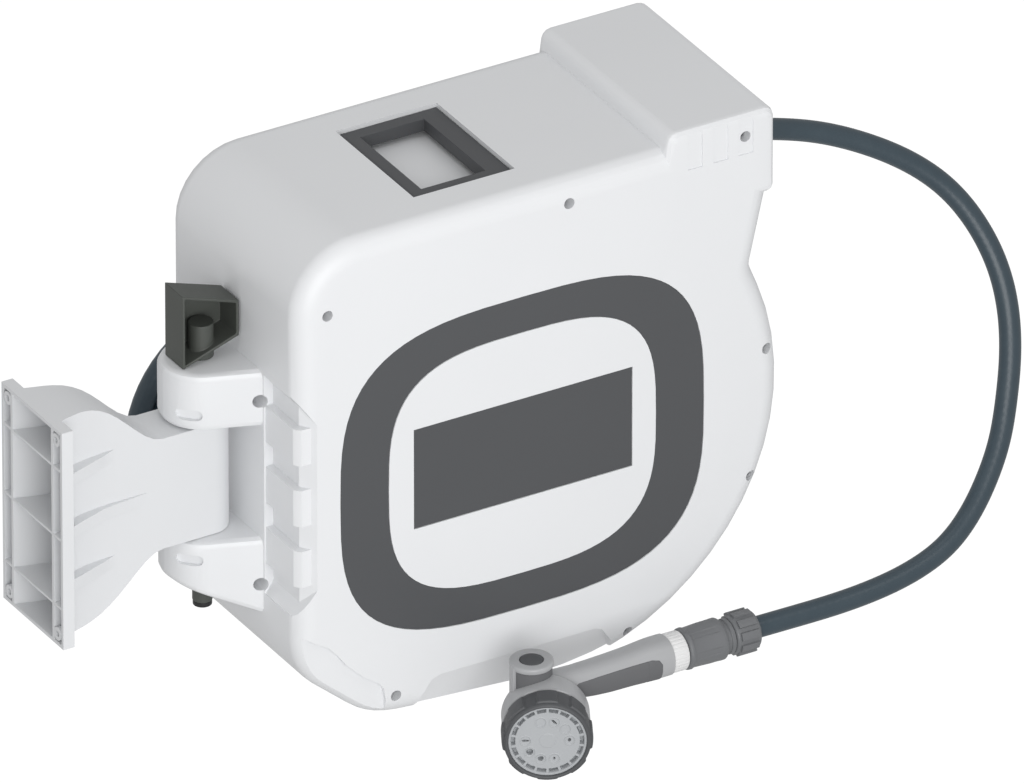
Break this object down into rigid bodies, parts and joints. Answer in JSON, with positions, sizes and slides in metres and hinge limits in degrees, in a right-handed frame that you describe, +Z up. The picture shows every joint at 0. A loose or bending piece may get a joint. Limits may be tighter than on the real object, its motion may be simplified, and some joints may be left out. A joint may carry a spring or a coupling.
{
  "type": "wall-mounted retractable hose reel",
  "caption": "Light grey wall-mounted retractable hose reel: a box-shaped casing with a round lower end, hung by a pin on a wall bracket, with a dark hose and a multi-pattern spray gun.",
  "frame": {"origin": "centre of the wall bracket's four screw holes, on the back face of its plate, where it meets the wall", "axes": "+X out from the wall along the length of the casing, +Y to the back of the casing, the side away from the dark ring, +Z up"},
  "size_m": [0.8372, 0.3728, 0.4772],
  "materials": {
    "casing_plastic": "fine satin, moulded light grey polypropylene",
    "bracket_plastic": "fine satin, moulded light grey glass-filled plastic",
    "dark_plastic": "matte dark grey moulded plastic",
    "pin_plastic": "matte dark green-grey plastic",
    "black_plastic": "matte black plastic",
    "inner_plastic": "plain moulded plastic",
    "steel": "plain zinc-plated steel",
    "brass": "turned brass",
    "hose_rubber": "satin blue-grey hose",
    "grip_rubber": "soft matte dark grey grip",
    "gun_plastic": "satin mid grey plastic",
    "face_plastic": "satin light grey plastic",
    "white_plastic": "satin white plastic"
  },
  "bodies": {
    "bracket": {"wall_bracket": "bracket_plastic"},
    "casing": {"front_shell": "casing_plastic", "rear_shell": "casing_plastic", "casing_screws": "steel", "lug_screws": "steel", "cover_ring": "dark_plastic", "cover_panel": "dark_plastic", "outlet_frame": "dark_plastic", "axle_tube": "brass", "power_spring": "steel", "hose_feed": "hose_rubber", "free_hose": "hose_rubber", "hose_nut": "dark_plastic", "hose_coupling": "dark_plastic", "gun_body": "gun_plastic", "gun_grip": "grip_rubber", "valve_sleeve": "grip_rubber", "inlet_elbow": "dark_plastic", "lead_hose": "hose_rubber", "lead_coil": "hose_rubber", "lead_nut": "dark_plastic", "tap_connector": "dark_plastic", "coil_tie": "black_plastic"},
    "pin": {"pivot_pin": "pin_plastic", "pin_end_cap": "black_plastic"},
    "handle": {"carry_handle": "dark_plastic"},
    "drum": {"drum_core": "inner_plastic", "drum_front_flange": "inner_plastic", "drum_rear_flange": "inner_plastic", "drum_bushes": "black_plastic", "hose_pack": "hose_rubber", "ratchet_wheel": "dark_plastic"},
    "pawl": {"ratchet_pawl": "black_plastic"},
    "roller_top": {"guide_roller_top": "inner_plastic"},
    "roller_bottom": {"guide_roller_bottom": "inner_plastic"},
    "roller_front": {"guide_roller_front": "inner_plastic"},
    "roller_back": {"guide_roller_back": "inner_plastic"},
    "dial": {"dial_ring": "dark_plastic", "spray_face": "face_plastic"},
    "flow_regulator": {"flow_ring": "white_plastic"},
    "button": {"thumb_button": "dark_plastic"}
  },
  "joints": [
    {"name": "bracket_swivel", "type": "hinge", "parent": "bracket", "child": "casing", "pos_m": [0.15, 0, 0], "axis": [0, 0, 1], "range_deg": [-90, 60]},
    {"name": "pin_lift", "type": "slide", "parent": "casing", "child": "pin", "axis": [0, 0, 1], "range_m": [0, 0.225]},
    {"name": "handle_flip", "type": "hinge", "parent": "casing", "child": "handle", "pos_m": [0.3105, 0, 0.215], "axis": [0, -1, 0], "range_deg": [0, 90]},
    {"name": "drum_spin", "type": "hinge", "parent": "casing", "child": "drum", "pos_m": [0.396, 0, -0.002], "axis": [0, 1, 0], "continuous": true},
    {"name": "pawl_lift", "type": "hinge", "parent": "casing", "child": "pawl", "pos_m": [0.462, -0.08, -0.04], "axis": [0, 1, 0], "range_deg": [0, 20], "stiffness_Nm_per_rad": 0.05, "springref_deg": -28.65},
    {"name": "roller_top_spin", "type": "hinge", "parent": "casing", "child": "roller_top", "pos_m": [0.605, 0, 0.1789], "axis": [0, 1, 0], "continuous": true},
    {"name": "roller_bottom_spin", "type": "hinge", "parent": "casing", "child": "roller_bottom", "pos_m": [0.605, 0, 0.1474], "axis": [0, 1, 0], "continuous": true},
    {"name": "roller_front_spin", "type": "hinge", "parent": "casing", "child": "roller_front", "pos_m": [0.591, -0.01575, 0.16315], "axis": [0, 0, 1], "continuous": true},
    {"name": "roller_back_spin", "type": "hinge", "parent": "casing", "child": "roller_back", "pos_m": [0.591, 0.01575, 0.16315], "axis": [0, 0, 1], "continuous": true},
    {"name": "dial_turn", "type": "hinge", "parent": "casing", "child": "dial", "pos_m": [0.369, -0.15, -0.203], "axis": [-0.4695, -0.8829, 0], "continuous": true},
    {"name": "flow_turn", "type": "hinge", "parent": "casing", "child": "flow_regulator", "pos_m": [0.484, -0.15, -0.188], "axis": [1, 0, 0], "range_deg": [0, 90]},
    {"name": "button_press", "type": "slide", "parent": "casing", "child": "button", "axis": [0, 0, -1], "range_m": [0, 0.004], "stiffness_N_per_m": 400, "springref_m": -0.001}
  ]
}
